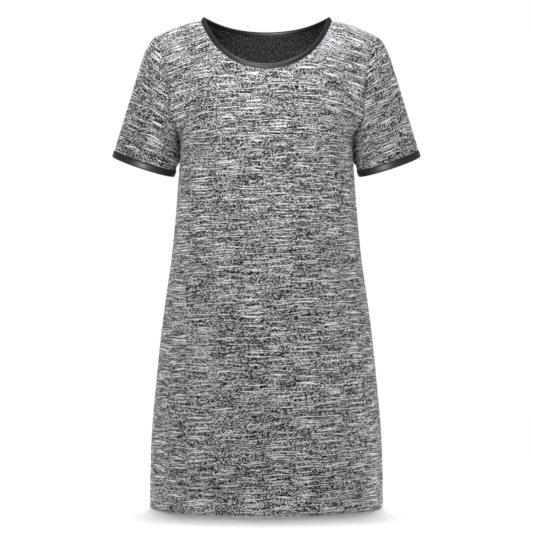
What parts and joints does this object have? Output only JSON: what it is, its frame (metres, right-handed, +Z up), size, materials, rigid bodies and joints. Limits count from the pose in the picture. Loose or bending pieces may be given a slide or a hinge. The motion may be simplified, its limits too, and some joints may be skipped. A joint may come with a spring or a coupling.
{
  "type": "a-line dress",
  "caption": "Short-sleeved round-neck a-line dress in grey marl jersey with dark bound neck and cuffs, standing open and filled out as it is worn.",
  "frame": {"origin": "midway between the two points where the shoulder seams meet the neck edge of the cloth, where a wearer's neck and shoulders hold the dress up", "axes": "+Z up towards the wearer's head, -Y to the wearer's front, +X to the wearer's left"},
  "size_m": [0.5604, 0.3161, 0.8871],
  "materials": {
    "marl_jersey": "soft slub marl jersey knit, light grey and charcoal, matt",
    "binding": "smooth charcoal binding with a satin sheen"
  },
  "bodies": {
    "root": {"front_panel": "marl_jersey", "back_panel": "marl_jersey", "sleeve_left": "marl_jersey", "sleeve_right": "marl_jersey", "neck_binding": "binding", "cuff_binding_left": "binding", "cuff_binding_right": "binding"}
  },
  "joints": []
}
